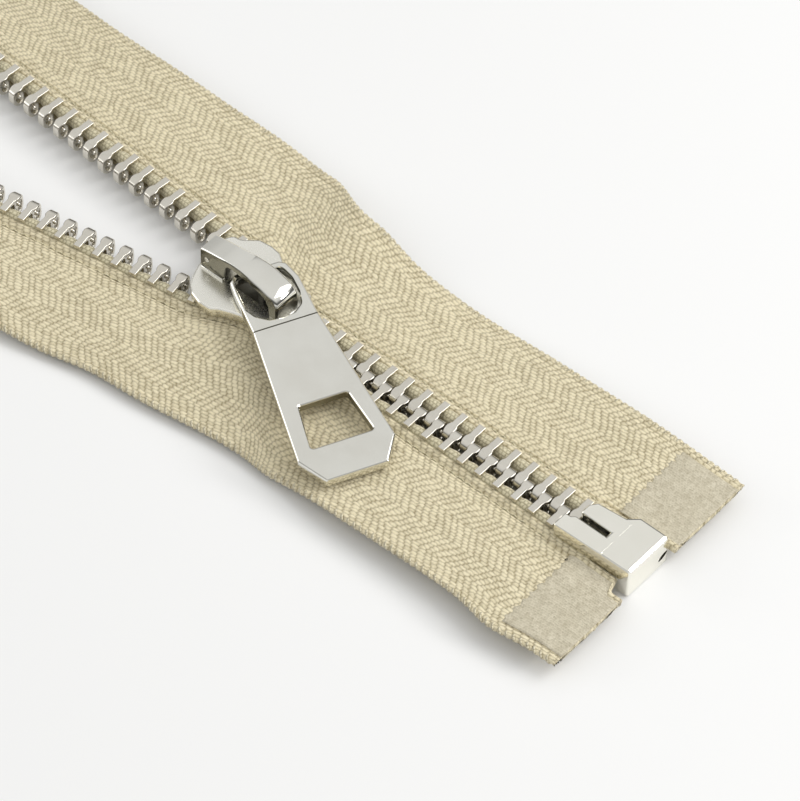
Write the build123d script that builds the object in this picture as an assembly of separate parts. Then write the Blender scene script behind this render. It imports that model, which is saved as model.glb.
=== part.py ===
from build123d import *
import math
import os

# Metal separating zipper, drawn half open and lying flat on a table.  Millimetres, +Z up.
# +X runs along the chain, from the retainer box at the bottom end to the top stops.
# +Y is the left half and -Y the right half.  The origin is under the middle of the box,
# on the surface that the zipper lies on.

LEFT = 1
RIGHT = -1
SIDE_NAMES = {LEFT: "left", RIGHT: "right"}

# ---------------------------------------------------------------- chain and tapes
PITCH = 2.54                  # from one tooth to the next on the same tape
TEETH_PER_SIDE = 66
MID_Z = 2.2                   # height of the middle of the tapes and of the chain
TOOTH_HEIGHT = 2.4
TOOTH_WIDTH = 1.04            # along the chain
TOOTH_LEG_END = 2.65          # from the chain's middle line, outwards
TOOTH_HEAD_END = 0.75         # past the chain's middle line, into the other row
TOOTH_THROAT = 0.95           # where the two legs part to take the cord
LEG_GAP = 1.64                # between the upper and the lower leg
CORD_RADIUS = 0.7
CORD_LINE = 1.9               # cord's middle line, from the chain's middle line
TAPE_THICKNESS = 0.6
TAPE_INNER = 2.68
TAPE_OUTER = 15.9

# ---------------------------------------------------------------- bottom end
BOX_LENGTH = 4.9
BOX_END_X = -BOX_LENGTH / 2
BOX_LEFT = 2.83
BOX_RIGHT = -3.78
BOX_HEIGHT = 4.4
BOX_WALL = 0.55
PIN_INNER = 0.42              # the slot between the two pins is twice this
PIN_OUTER = 2.78
PIN_RELIEF_X = BOX_END_X + 9.15   # beyond this the fixed pin leaves room for a tooth's head
TONGUE_HALF_HEIGHT = 1.45
FIXED_PIN_END_X = BOX_END_X + 10.3
INSERTION_PIN_END_X = BOX_END_X + 9.1
FIRST_TOOTH_X = {LEFT: BOX_END_X + 11.05, RIGHT: BOX_END_X + 11.05 - PITCH / 2}
TAPE_START_X = BOX_END_X - 0.75
FILM_LENGTH = 7.75
FILM_THICKNESS = 0.12
SELVEDGE = 1.2                # outer edge that the film leaves bare

# ---------------------------------------------------------------- where the halves part
SPLIT_X = BOX_END_X + 53.0    # the rows start to part here, inside the slider
MOUTH_X = BOX_END_X + 62.5    # and from here each half runs straight
MOUTH_OFFSET = 2.95
ARM_ANGLE = {LEFT: 9.5, RIGHT: 2.75}
TAPE_END_X = BOX_END_X + 195.0
STOP_LENGTH = 3.4
STEEPEST = 0.41               # slope of a cord where its row parts fastest

# ---------------------------------------------------------------- slider
SLIDER_REAR_X = BOX_END_X + 50.6
SLIDER_FRONT_X = BOX_END_X + 63.3
BODY_HEIGHT = 4.4
PLATE = 0.9
SLIT_HALF = 0.5               # half the gap that the tape leaves by
ROW_CLEARANCE = 0.13
DIAMOND_REAR_X = BOX_END_X + 57.9
DIAMOND_FRONT_X = BOX_END_X + 62.7
FLANGE_FRONT_X = BOX_END_X + 60.9
CROWN_HALF = 1.42
CROWN_REAR_X = BOX_END_X + 51.3
CROWN_FRONT_X = BOX_END_X + 63.1
CROWN_TOP = 8.0

# ---------------------------------------------------------------- pull tab and lock
HINGE_X = BOX_END_X + 57.3
HINGE_Z = 5.7
TAB_YAW = 26.0                # the loose ring lets the tab lie aslant
TAB_DROOP = 4.1               # it slopes down to the tape
TAB_THICKNESS = 1.45
TAB_RING = 7.9                # from the ring's bar to the crease
TAB_BLADE = 21.2              # from the crease to the tip
TAB_ASIDE = 1.51              # how far the ring has slipped along its bar
TAB_TOP_HALF = 3.84
TAB_WIDE_HALF = 5.7
TAB_TIP_HALF = 3.55
TAB_WIDE_AT = 17.1
RING_INNER_HALF = 3.2
BAR_HALF = 0.38
PIN_X = BOX_END_X + 54.86     # locking pin, over the gap between two heads
PIN_HALF = 0.35
PRONG_HALF = 0.07


def pivot_x(side):
    """The point on the middle line that the straight part of a half turns about."""
    return MOUTH_X - MOUTH_OFFSET / math.sin(math.radians(ARM_ANGLE[side]))


def laid(x, distance, side):
    """Where a point of the closed zipper lies now: x along it, distance out from its middle."""
    share = min(max((x - SPLIT_X) / (MOUTH_X - SPLIT_X), 0.0), 1.0)
    weight = share * share * (3 - 2 * share)
    turn = math.radians(ARM_ANGLE[side])
    reach = x - pivot_x(side)
    turned_x = pivot_x(side) + reach * math.cos(turn) - distance * math.sin(turn)
    turned_y = reach * math.sin(turn) + distance * math.cos(turn)
    along = x + weight * (turned_x - x)
    across = distance + weight * (turned_y - distance)
    return (along, side * across)


def parted(x, side):
    """How far a row has moved out from its closed place."""
    return abs(laid(x, 0, side)[1])


def lean(x, side):
    """The angle of a row's own line, in degrees from the chain's."""
    near, far = laid(x - 0.01, 0, side), laid(x + 0.01, 0, side)
    return math.degrees(math.atan2(far[1] - near[1], far[0] - near[0]))


def stations(side):
    """Where each tooth of a row stands along the closed chain."""
    return [FIRST_TOOTH_X[side] + PITCH * count for count in range(TEETH_PER_SIDE)]


def put(shape, x, side):
    """Stands a piece drawn for the left half at the origin on its own row."""
    upright = shape if side == LEFT else shape.mirror(Plane.XZ)
    along, across = laid(x, 0, side)
    return Pos(along, across, 0) * Rot(0, 0, lean(x, side)) * upright


def plan_prism(points, bottom, top):
    """A flat-sided solid over a closed outline in plan."""
    outline = make_face(Polyline([(x, y, bottom) for x, y in points], close=True))
    return extrude(outline, top - bottom, dir=(0, 0, 1))


def slab(points, half, middle=MID_Z):
    return plan_prism(points, middle - half, middle + half)


def block(x_low, x_high, y_low, y_high, z_low, z_high):
    middle = ((x_low + x_high) / 2, (y_low + y_high) / 2, (z_low + z_high) / 2)
    return Pos(*middle) * Box(x_high - x_low, y_high - y_low, z_high - z_low)


def one_solid(shape):
    """The largest solid of a boolean result."""
    return max(shape.solids(), key=lambda solid: solid.volume)


# ---------------------------------------------------------------- teeth
def tooth():
    """One tooth of the left row: a head, and two legs that clasp the cord."""
    half = TOOTH_WIDTH / 2
    outline = [
        (half, TOOTH_LEG_END),
        (half, 0.4),
        (half - 0.05, -0.35),
        (half - 0.25, -TOOTH_HEAD_END),
        (0.25 - half, -TOOTH_HEAD_END),
        (0.05 - half, -0.35),
        (-half, 0.4),
        (-half, TOOTH_LEG_END),
    ]
    blank = slab(outline, TOOTH_HEIGHT / 2)
    gap = block(-1, 1, TOOTH_THROAT, 3, MID_Z - LEG_GAP / 2, MID_Z + LEG_GAP / 2)
    return blank - gap


def teeth_row(side, x_low, x_high):
    shape = tooth()
    places = [x for x in stations(side) if x_low <= x < x_high]
    return Compound(children=[put(shape, x, side) for x in places])


# ---------------------------------------------------------------- tapes, cords and films
def tape_lower(side):
    """The straight part of a tape, stepped back where the box and its pin stand."""
    inner = 2.9 if side == LEFT else 3.9
    pin_end = FIXED_PIN_END_X if side == LEFT else INSERTION_PIN_END_X
    step_x = BOX_END_X + BOX_LENGTH + 0.2
    outline = [
        (TAPE_START_X, side * TAPE_OUTER),
        (TAPE_START_X, side * (inner + 0.1)),
        (step_x, side * (inner + 0.1)),
        (step_x, side * 2.9),
        (pin_end + 0.2, side * 2.9),
        (pin_end + 0.2, side * TAPE_INNER),
        (SPLIT_X, side * TAPE_INNER),
        (SPLIT_X, side * TAPE_OUTER),
    ]
    return slab(outline, TAPE_THICKNESS / 2)


def tape_upper(side):
    """The part of a tape that bends out through the slider and runs on to the top."""
    steps = 6
    stretch = [SPLIT_X + (MOUTH_X - SPLIT_X) * n / steps for n in range(steps + 1)]
    stretch.append(TAPE_END_X)
    inner = [laid(x, TAPE_INNER, side) for x in stretch]
    outer = [laid(x, TAPE_OUTER, side) for x in reversed(stretch)]
    return slab(inner + outer, TAPE_THICKNESS / 2)


def cord_lower(side):
    pin_end = FIXED_PIN_END_X if side == LEFT else INSERTION_PIN_END_X
    start = pin_end + 0.15
    rod = Cylinder(CORD_RADIUS, SPLIT_X - start, rotation=(0, 90, 0))
    return Pos((start + SPLIT_X) / 2, side * CORD_LINE, MID_Z) * rod


def cord_upper(side):
    """A run along the closed line, a steep run inside the slider, and the straight half."""
    turn = math.radians(ARM_ANGLE[side])
    half_way = (SPLIT_X + MOUTH_X) / 2
    rise = parted(half_way, side)
    first_x = half_way - rise / STEEPEST
    arm_line = math.tan(turn) * (half_way - pivot_x(side))
    second_x = half_way + (arm_line - rise) / (STEEPEST - math.tan(turn))
    second_y = math.tan(turn) * (second_x - pivot_x(side)) + CORD_LINE / math.cos(turn)
    route = [
        (SPLIT_X, side * CORD_LINE, MID_Z),
        (first_x, side * CORD_LINE, MID_Z),
        (second_x, side * second_y, MID_Z),
        (*laid(TAPE_END_X, CORD_LINE, side), MID_Z),
    ]
    line = FilletPolyline(*route, radius=4.0)
    ring = Plane(origin=route[0], z_dir=(1, 0, 0)) * Circle(CORD_RADIUS)
    return sweep(ring, path=line)


def film(side, above):
    """Clear reinforcing film, on one face of a tape's bottom end."""
    inner = 3.2 if side == LEFT else 4.1
    end_x = TAPE_START_X + FILM_LENGTH
    outline = [
        (TAPE_START_X, side * inner),
        (end_x, side * inner),
        (end_x, side * (TAPE_OUTER - SELVEDGE)),
        (TAPE_START_X, side * (TAPE_OUTER - SELVEDGE)),
    ]
    face = TAPE_THICKNESS / 2 + FILM_THICKNESS / 2
    return slab(outline, FILM_THICKNESS / 2, MID_Z + (face if above else -face))


def top_stop(side):
    """A folded metal stop, clamped over the cord above the last tooth."""
    x = stations(side)[-1] + PITCH
    shape = block(-STOP_LENGTH / 2, STOP_LENGTH / 2, 0.45, 2.9, MID_Z - 1.3, MID_Z + 1.3)
    shape = fillet(shape.edges().filter_by(Axis.X), 0.5)
    bore = block(-3, 3, 1.1, 3.2, MID_Z - 0.75, MID_Z + 0.75)
    return put(shape - bore, x, side)


# ---------------------------------------------------------------- box and pins
def retainer_box():
    """A folded box, open towards the chain, that takes the tongues of both pins."""
    shape = block(BOX_END_X, BOX_END_X + BOX_LENGTH, BOX_RIGHT, BOX_LEFT, 0, BOX_HEIGHT)
    far_corner = shape.edges().filter_by(Axis.Z).sort_by(Axis.X)[-2:].sort_by(Axis.Y)[0]
    shape = chamfer(far_corner, 1.0)
    ends = shape.faces().sort_by(Axis.X)[0].edges()
    shape = fillet(ends, 0.25)
    inside = block(
        BOX_END_X + BOX_WALL,
        BOX_END_X + BOX_LENGTH + 1,
        -PIN_OUTER - 0.05,
        PIN_OUTER - 0.5,
        MID_Z - TONGUE_HALF_HEIGHT - 0.05,
        MID_Z + TONGUE_HALF_HEIGHT + 0.05,
    )
    witness = Pos(BOX_END_X, -1.7, MID_Z) * Cylinder(0.35, 3, rotation=(0, 90, 0))
    return shape - inside - witness


def pin_bar(side, end_x):
    """The stout bar that clasps the end of a tape, with its tongue inside the box."""
    start = BOX_END_X + BOX_LENGTH + (0.0 if side == LEFT else 0.03)
    inner, outer = sorted((side * PIN_INNER, side * PIN_OUTER))
    bar = block(start, end_x, inner, outer, 0, BOX_HEIGHT)
    bar = fillet(bar.faces().sort_by(Axis.X)[-1].edges(), 0.2)
    low, high = sorted((side * PIN_INNER, side * (PIN_OUTER - 0.6)))
    tongue = block(
        BOX_END_X + BOX_WALL + 0.1,
        start + 0.5,
        low,
        high,
        MID_Z - TONGUE_HALF_HEIGHT,
        MID_Z + TONGUE_HALF_HEIGHT,
    )
    relief = block(PIN_RELIEF_X, end_x + 1, 0, TOOTH_HEAD_END + 0.1, -1, BODY_HEIGHT + 1)
    return bar + tongue - relief


# ---------------------------------------------------------------- slider
def body_outline():
    """Half of the slider's plan, from its rear to its front, as distances from the rear."""
    return [
        (0.0, 0.0),
        (0.0, 3.3),
        (0.4, 3.6),
        (3.2, 3.85),
        (5.2, 4.5),
        (6.4, 5.3),
        (7.6, 5.7),
        (9.4, 5.6),
        (10.9, 4.9),
        (11.9, 3.7),
        (12.4, 2.2),
        (SLIDER_FRONT_X - SLIDER_REAR_X, 0.0),
    ]


def full_plan(half_outline):
    points = [(SLIDER_REAR_X + x, y) for x, y in half_outline]
    return points + [(x, -y) for x, y in reversed(points[1:-1])]


def row_limit(x, beyond):
    """The widest that either row reaches, or the narrowest that both leave free."""
    both = (parted(x, LEFT), parted(x, RIGHT))
    return max(both) + beyond if beyond > 0 else min(both) + beyond


def flange(side, low, high):
    """A side wall of the slider, which follows the row's outer ends."""
    steps = 5
    stretch = [SLIDER_REAR_X + (FLANGE_FRONT_X - SLIDER_REAR_X) * n / steps for n in range(steps + 1)]
    clear = TOOTH_LEG_END + 2 * ROW_CLEARANCE
    inner = [(x, side * row_limit(x, clear)) for x in stretch]
    outer = [(FLANGE_FRONT_X, side * 7), (SLIDER_REAR_X, side * 7)]
    return plan_prism(inner + outer, low, high)


def diamond():
    """The post that parts the two rows and joins the slider's plates."""
    steps = 5
    length = DIAMOND_FRONT_X - DIAMOND_REAR_X
    stretch = [DIAMOND_REAR_X + length * n / steps for n in range(steps + 1)]
    clear = -(TOOTH_HEAD_END + 2 * ROW_CLEARANCE)
    edge = [(x, max(row_limit(x, clear), 0.12)) for x in stretch]
    points = edge + [(x, -y) for x, y in reversed(edge)]
    return plan_prism(points, PLATE / 2, BODY_HEIGHT - PLATE / 2)


def slider_body():
    outline = full_plan(body_outline())
    whole = plan_prism(outline, 0, BODY_HEIGHT)
    whole = fillet(whole.edges().filter_by(Axis.Z), 0.35)
    rims = whole.faces().filter_by(Axis.Z)
    whole = fillet(rims.edges(), 0.22)
    channel = block(SLIDER_REAR_X - 1, SLIDER_FRONT_X + 1, -8, 8, PLATE, BODY_HEIGHT - PLATE)
    shape = whole - channel + diamond()
    for side in (LEFT, RIGHT):
        lower = flange(side, PLATE - 0.1, MID_Z - SLIT_HALF)
        upper = flange(side, MID_Z + SLIT_HALF, BODY_HEIGHT - PLATE + 0.1)
        shape = shape + (lower & whole) + (upper & whole)
    pin_hole = block(
        PIN_X - PIN_HALF - 0.08,
        PIN_X + PIN_HALF + 0.08,
        -0.5,
        0.5,
        BODY_HEIGHT - PLATE - 1,
        BODY_HEIGHT + 1,
    )
    return one_solid(shape - pin_hole)


def crown_point(from_rear, z):
    return (CROWN_REAR_X + from_rear, 0, z)


def slider_crown():
    """The arched bridge over the slider that the pull tab's bar sits under."""
    length = CROWN_FRONT_X - CROWN_REAR_X
    foot = BODY_HEIGHT
    rear_wall = Polyline(crown_point(1.35, foot), crown_point(0.0, foot), crown_point(0.0, 5.6))
    heel = ThreePointArc(crown_point(0.0, 5.6), crown_point(0.35, 6.75), crown_point(1.5, 7.35))
    back = ThreePointArc(crown_point(1.5, 7.35), crown_point(6.0, CROWN_TOP), crown_point(length, 7.35))
    nose = Line(crown_point(length, 7.35), crown_point(length, foot))
    sole = Polyline(crown_point(length, foot), crown_point(8.4, foot), crown_point(8.3, 6.1))
    roof_front = Line(crown_point(8.3, 6.1), crown_point(7.1, 7.05))
    roof = ThreePointArc(crown_point(7.1, 7.05), crown_point(4.2, 7.0), crown_point(2.0, 6.5))
    heel_inside = Line(crown_point(2.0, 6.5), crown_point(1.35, foot))
    outline = [rear_wall, heel, back, nose, sole, roof_front, roof, heel_inside]
    profile = make_face(Wire([edge for part in outline for edge in part.edges()]))
    arch = extrude(profile, CROWN_HALF, dir=(0, 1, 0), both=True)
    upper_edges = [edge for edge in arch.edges() if edge.center().Z > 6.4 and abs(edge.center().Y) > 1]
    outer_edges = [edge for edge in upper_edges if edge.center().Z > 7.2]
    return fillet(outer_edges, 0.25)


# ---------------------------------------------------------------- pull tab and lock
def tab_place():
    """Moves the flat tab, drawn with its bar at the origin, to where it lies."""
    turned = Rot(0, 0, 180 - TAB_YAW) * Rot(0, TAB_DROOP, 0)
    return Pos(HINGE_X, 0, HINGE_Z) * turned * Pos(0, TAB_ASIDE, 0)


def pull_tab():
    """A ring round the crown, and a tapered blade with a window near its tip."""
    half = TAB_THICKNESS / 2
    crease = TAB_RING
    tip = TAB_RING + TAB_BLADE
    wide = TAB_RING + TAB_WIDE_AT
    outline = [
        (-BAR_HALF, -TAB_TOP_HALF + 1.1),
        (0.9, -TAB_TOP_HALF),
        (crease, -TAB_TOP_HALF),
        (wide, -TAB_WIDE_HALF),
        (tip, -TAB_TIP_HALF),
        (tip, TAB_TIP_HALF),
        (wide, TAB_WIDE_HALF),
        (crease, TAB_TOP_HALF),
        (0.9, TAB_TOP_HALF),
        (-BAR_HALF, TAB_TOP_HALF - 1.1),
    ]
    blank = plan_prism(outline, -half, half)
    blank = chamfer(blank.faces().sort_by(Axis.Z)[-1].edges(), 0.18)
    eye_length = TAB_RING - 1.15 - BAR_HALF
    eye_middle = BAR_HALF + eye_length / 2
    eye = Pos(eye_middle, 0, 0) * Box(eye_length, 2 * RING_INNER_HALF, 4)
    far_edges = eye.edges().filter_by(Axis.Z).sort_by(Axis.X)[-2:]
    eye = fillet(far_edges, 2.3)
    near_edges = eye.edges().filter_by(Axis.Z).sort_by(Axis.X)[:2]
    eye = fillet(near_edges, 0.25)
    window_top = TAB_RING + 10.4
    window_end = TAB_RING + 16.4
    window = plan_prism(
        [(window_top, -2.9), (window_end, -3.53), (window_end, 3.53), (window_top, 2.9)], -2, 2
    )
    window = fillet(window.edges().filter_by(Axis.Z), 0.45)
    groove = block(crease - 0.08, crease + 0.08, -6, 6, half - 0.1, half + 1)
    bar_room = 2 * RING_INNER_HALF
    over_bar = block(-1, BAR_HALF + 0.5, -bar_room / 2, bar_room / 2, BAR_HALF, 2)
    under_bar = block(-1, BAR_HALF + 0.5, -bar_room / 2, bar_room / 2, -2, -BAR_HALF)
    flat = blank - eye - window - groove - over_bar - under_bar
    return tab_place() * one_solid(flat)


def locking_pin():
    """A stub over the chain, with a thin prong between two heads and an arm for the spring."""
    stub = block(PIN_X - PIN_HALF, PIN_X + PIN_HALF, -0.42, 0.42, 3.45, 5.0)
    prong = block(PIN_X - PRONG_HALF, PIN_X + PRONG_HALF, -0.4, 0.4, 2.9, 3.5)
    arm = block(PIN_X - 1.35, PIN_X + PIN_HALF, -0.42, 0.42, 4.62, 5.0)
    return stub + prong + arm


def lock_spring():
    """A leaf under the crown's roof that presses the locking pin down."""
    start = (PIN_X + 0.25, 0, 5.05)
    middle = (PIN_X - 0.75, 0, 5.75)
    end = (PIN_X - 1.15, 0, 6.3)
    thick = 0.14
    lower = ThreePointArc(start, middle, end)
    upper = ThreePointArc(
        (end[0], 0, end[2] + thick), (middle[0], 0, middle[2] + thick), (start[0], 0, start[2] + thick)
    )
    sides = [Line(end, (end[0], 0, end[2] + thick)), Line((start[0], 0, start[2] + thick), start)]
    profile = make_face(Wire([lower, sides[0], upper, sides[1]]))
    return extrude(profile, 0.4, dir=(0, 1, 0), both=True)


# ---------------------------------------------------------------- every node
def all_nodes():
    nodes = {
        "retainer_box": retainer_box(),
        "fixed_pin": pin_bar(LEFT, FIXED_PIN_END_X),
        "insertion_pin": pin_bar(RIGHT, INSERTION_PIN_END_X),
        "slider_body": slider_body(),
        "slider_crown": slider_crown(),
        "pull_tab": pull_tab(),
        "locking_pin": locking_pin(),
        "lock_spring": lock_spring(),
    }
    for side, name in SIDE_NAMES.items():
        nodes[f"tape_{name}_lower"] = tape_lower(side)
        nodes[f"tape_{name}_upper"] = tape_upper(side)
        nodes[f"cord_{name}_lower"] = cord_lower(side)
        nodes[f"cord_{name}_upper"] = cord_upper(side)
        nodes[f"teeth_{name}_lower"] = teeth_row(side, BOX_END_X, SPLIT_X)
        nodes[f"guide_teeth_{name}"] = teeth_row(side, SPLIT_X, MOUTH_X)
        nodes[f"teeth_{name}_upper"] = teeth_row(side, MOUTH_X, TAPE_END_X)
        nodes[f"film_{name}_top"] = film(side, above=True)
        nodes[f"film_{name}_bottom"] = film(side, above=False)
        nodes[f"top_stop_{name}"] = top_stop(side)
    return nodes


os.makedirs("parts", exist_ok=True)
for node_name, node_shape in all_nodes().items():
    export_step(node_shape, f"parts/{node_name}.step")
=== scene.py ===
import math

import bmesh
import bpy
import numpy as np
from mathutils import Matrix, Vector


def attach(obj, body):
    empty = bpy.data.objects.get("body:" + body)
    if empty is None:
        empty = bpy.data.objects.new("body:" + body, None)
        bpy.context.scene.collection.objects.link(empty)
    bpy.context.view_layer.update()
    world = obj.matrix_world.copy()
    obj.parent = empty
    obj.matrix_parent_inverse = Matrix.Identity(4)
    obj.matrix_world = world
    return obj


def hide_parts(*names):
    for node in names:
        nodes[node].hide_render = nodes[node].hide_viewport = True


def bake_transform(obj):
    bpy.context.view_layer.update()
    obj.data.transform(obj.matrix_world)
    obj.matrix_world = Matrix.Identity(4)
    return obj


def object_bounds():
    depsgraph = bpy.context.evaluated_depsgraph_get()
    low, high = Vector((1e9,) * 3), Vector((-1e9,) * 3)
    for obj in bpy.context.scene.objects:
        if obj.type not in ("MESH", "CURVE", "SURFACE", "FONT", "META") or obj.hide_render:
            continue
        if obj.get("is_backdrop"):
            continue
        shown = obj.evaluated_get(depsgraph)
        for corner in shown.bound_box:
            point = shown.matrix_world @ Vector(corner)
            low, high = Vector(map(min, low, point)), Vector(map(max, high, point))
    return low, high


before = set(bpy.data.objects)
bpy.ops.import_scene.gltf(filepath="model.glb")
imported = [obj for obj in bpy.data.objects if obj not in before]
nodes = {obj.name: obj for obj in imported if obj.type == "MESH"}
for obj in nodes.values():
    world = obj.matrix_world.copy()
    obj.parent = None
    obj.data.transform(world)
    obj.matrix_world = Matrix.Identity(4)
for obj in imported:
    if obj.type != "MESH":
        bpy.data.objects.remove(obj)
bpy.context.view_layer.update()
rng = np.random.default_rng(7)

MM = 0.001
LEFT, RIGHT = 1, -1
NAMES = {LEFT: "left", RIGHT: "right"}

# ------------------------------------------------------------ sizes shared with the CAD, in mm
BOX_END = -2.45
PITCH = 2.54
TEETH_PER_SIDE = 66
FIRST_TOOTH = {LEFT: BOX_END + 11.05, RIGHT: BOX_END + 11.05 - PITCH / 2}
ROW_SHIFT = {LEFT: 0.05, RIGHT: -0.05}
MID_Z = 2.2
TOOTH_END_CLEAR = 2.65 + 0.26
TOOTH_HEIGHT = 2.4
TOOTH_WIDTH = 1.04
LEG_END = 2.65
HEAD_END = 0.75
THROAT = 0.95
LEG_GAP = 1.64
CORD_LINE = 1.9
PIN_END = {LEFT: BOX_END + 10.3, RIGHT: BOX_END + 9.1}
TAPE_START = BOX_END - 0.75
TAPE_END = BOX_END + 195.0
TAPE_HALF = 0.3
TAPE_OUTER = 15.9
FILM_LENGTH = 7.75
SPLIT = BOX_END + 53.0
MOUTH = BOX_END + 62.5
MOUTH_OFFSET = 2.95
ARM_ANGLE = {LEFT: math.radians(9.5), RIGHT: math.radians(2.75)}
LEAD = {LEFT: 15.0, RIGHT: 0.0}
PIVOT = {side: MOUTH - MOUTH_OFFSET / math.sin(ARM_ANGLE[side]) for side in ARM_ANGLE}
HINGE = (BOX_END + 57.3, 0, 5.7)
TAB_YAW = math.radians(180 - 26)
TAB_DROOP = math.radians(4.1)
TAB_ASIDE = 1.51

# ------------------------------------------------------------ sizes of the look alone, in mm
STITCH_GROOVE = 3.72
SELVEDGE_LINE = 15.55
SELVEDGE_WINDING = 0.29
FILM_OUTER = TAPE_OUTER - 1.2
FILM_FEATHER = TAPE_OUTER - 1.5
FILM_HALF = 0.05
NOTCH_START = BOX_END + 0.9
NOTCH_END = BOX_END + 1.35
SHARP_TOOTH = 24
SHARP_METAL = 26
SHARP_TAB = 20
FULL_TURN = 2 * math.pi


def smooth(low, high, value):
    """0 at low, 1 at high, and a smooth step between; low may be the larger."""
    share = np.clip((value - low) / (high - low), 0, 1)
    return share * share * (3 - 2 * share)


def laid(x, distance, side, lead=0.0):
    """Where a point of the closed zipper lies now: x along it, distance out from its middle.
    lead: how much sooner the cloth turns than the teeth do."""
    weight = smooth(SPLIT - lead, MOUTH - lead, x)
    turn = ARM_ANGLE[side]
    reach = x - PIVOT[side]
    turned_x = PIVOT[side] + reach * math.cos(turn) - distance * math.sin(turn)
    turned_y = reach * math.sin(turn) + distance * math.cos(turn)
    along = x + weight * (turned_x - x)
    across = distance + weight * (turned_y - distance)
    return along, side * across


def lean(x, side):
    """The angle of a row's own line from the chain's."""
    (x0, y0), (x1, y1) = laid(x - 0.01, 0, side), laid(x + 0.01, 0, side)
    return math.atan2(y1 - y0, x1 - x0)


def stations(side):
    """Where the teeth of one row stand along the closed chain."""
    return [FIRST_TOOTH[side] + PITCH * n for n in range(TEETH_PER_SIDE)]


def bump(x, middle, width):
    """1 at the middle, falling away smoothly on both sides."""
    return np.exp(-(((x - middle) / width) ** 2))


def drape(x, distance, side):
    """How the soft tape strays from flat: (outwards, upwards), nothing at the chain."""
    share = np.clip((distance - 3.5) / (TAPE_OUTER - 3.5), 0, 1) ** 1.6
    if side == RIGHT:
        lift = 2.0 * bump(x, 53, 6.5) - 1.1 * bump(x, 33, 9) + 0.5 * bump(x, 9, 8)
        lift = lift + 0.5 * bump(x, 92, 16)
        out = 0.72 * bump(x, 68, 9) + 0.75 * bump(x, 49.5, 4.5) + 0.2 * bump(x, 29, 8)
        out = out - 0.8 * smooth(80, 97, x) * (1 - smooth(110, 150, x))
    else:
        lift = -1.2 * smooth(27, 38, x) * (1 - smooth(70, 84, x)) + 0.25 * bump(x, 10, 9)
        out = 0.7 * bump(x, 40, 5) + 0.42 * bump(x, 29, 9)
        out = out - 0.55 * bump(x, 64, 5) + 0.75 * bump(x, 5.2, 3.5)
    return share * out, share * lift


def soft_place(x, distance, z, side):
    """The points of tape, cord or trim, in metres."""
    out, up = drape(x, distance, side)
    lead = LEAD[side] * smooth(3.2, TAPE_OUTER, distance)
    along, across = laid(x, distance + out, side, lead)
    return np.stack([along, across, z + up + 0 * along], -1) * MM


# ------------------------------------------------------------ meshes
def linked(name, mesh):
    """A new object in the scene."""
    obj = bpy.data.objects.new(name, mesh)
    bpy.context.scene.collection.objects.link(obj)
    return obj


def make_object(name, points, faces, smooth_shade=True, mm=True):
    """An object from points, in mm or in metres, and faces."""
    mesh = bpy.data.meshes.new(name)
    scale = MM if mm else 1.0
    mesh.from_pydata((np.asarray(points, float) * scale).tolist(), [], [list(f) for f in faces])
    mesh.validate()
    obj = linked(name, mesh)
    mesh.polygons.foreach_set("use_smooth", [smooth_shade] * len(mesh.polygons))
    return obj


def outward(obj):
    """Turns every face to look out of its solid."""
    bm = bmesh.new()
    bm.from_mesh(obj.data)
    bmesh.ops.recalc_face_normals(bm, faces=bm.faces)
    bm.to_mesh(obj.data)
    bm.free()
    return obj


def tube_faces(rings, around):
    """Quads between rings of points, and a face on each end."""
    faces = []
    for r in range(rings - 1):
        for a in range(around):
            b = (a + 1) % around
            here, beyond = r * around, (r + 1) * around
            faces.append((here + a, here + b, beyond + b, beyond + a))
    faces.append(tuple(range(around))[::-1])
    faces.append(tuple((rings - 1) * around + a for a in range(around)))
    return faces


def ring_mesh(name, rings, flat_mm=None):
    """A closed skin through equal rings of points, in metres. flat_mm: the cloth's own coordinates."""
    rings = np.asarray(rings, float)
    count, around = rings.shape[:2]
    obj = make_object(name, rings.reshape(-1, 3), tube_faces(count, around), mm=False)
    if flat_mm is not None:
        layer = obj.data.attributes.new("cloth_mm", "FLOAT_VECTOR", "POINT")
        layer.data.foreach_set("vector", np.asarray(flat_mm, np.float32).reshape(-1, 3).ravel())
    return outward(obj)


def blended(obj):
    """Bakes a soft piece's placing into its mesh."""
    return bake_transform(obj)


# ------------------------------------------------------------ node maths for materials
class Signal:
    """A value in a material, with arithmetic that makes Math nodes."""

    def __init__(self, tree, socket):
        self.tree = tree
        self.socket = socket

    def op(self, kind, *others):
        node = self.tree.nodes.new("ShaderNodeMath")
        node.operation = kind
        for place, value in enumerate((self, *others)):
            if isinstance(value, Signal):
                self.tree.links.new(value.socket, node.inputs[place])
            else:
                node.inputs[place].default_value = value
        return Signal(self.tree, node.outputs[0])

    def __add__(self, other):
        return self.op("ADD", other)

    def __sub__(self, other):
        return self.op("SUBTRACT", other)

    def __mul__(self, other):
        return self.op("MULTIPLY", other)

    def __truediv__(self, other):
        return self.op("DIVIDE", other)

    def fract(self):
        return self.op("FRACT")

    def floor(self):
        return self.op("FLOOR")

    def absolute(self):
        return self.op("ABSOLUTE")

    def saw(self):
        """-1 to 1 across every unit."""
        return self.fract() * 2.0 - 1.0

    def clip(self):
        return self.op("MAXIMUM", 0.0).op("MINIMUM", 1.0)

    def step(self, low, high):
        """0 at low and 1 at high, clipped."""
        return ((self - low) / (high - low)).clip()


def linear(red, green, blue):
    """An sRGB colour of 0 to 255 as linear values."""
    values = [c / 255 for c in (red, green, blue)]
    curved = [c / 12.92 if c < 0.04045 else ((c + 0.055) / 1.055) ** 2.4 for c in values]
    return curved + [1.0]


def material(name):
    """A new material, its node tree and its shader."""
    made = bpy.data.materials.new(name)
    made.use_nodes = True
    return made, made.node_tree, made.node_tree.nodes["Principled BSDF"]


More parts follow.
